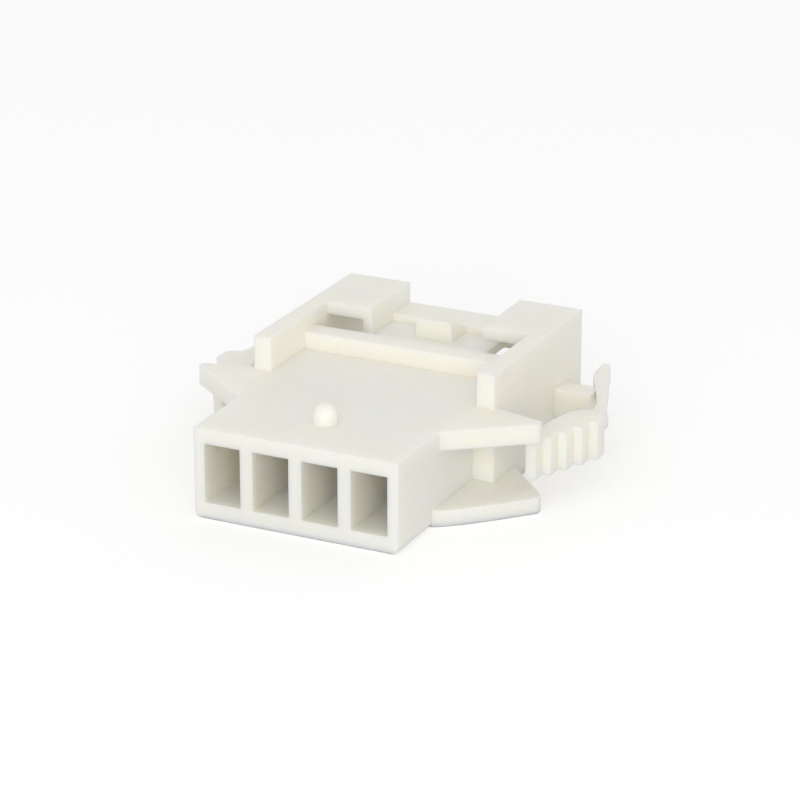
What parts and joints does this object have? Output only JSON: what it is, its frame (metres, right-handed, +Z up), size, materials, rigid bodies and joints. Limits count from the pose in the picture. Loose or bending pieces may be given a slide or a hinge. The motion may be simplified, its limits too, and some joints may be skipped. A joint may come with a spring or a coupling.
{
  "type": "panel lock connector housing",
  "caption": "Moulded nylon connector housing: open terminal cavities at the wire end, a shrouded hood at the mating end, swept stop wings and stepped panel lock arms.",
  "frame": {"origin": "middle of the footprint, on the underside that the housing rests on", "axes": "+X across the circuits and the lock arms, +Y from the wire entry to the mating end, +Z up, towards the latch deck"},
  "size_m": [0.0204, 0.0182, 0.0061],
  "materials": {
    "natural_nylon": "natural, unfilled nylon, milky and slightly warm, with the fine even texture of a moulded face"
  },
  "bodies": {
    "root": {"housing": "natural_nylon"}
  },
  "joints": []
}
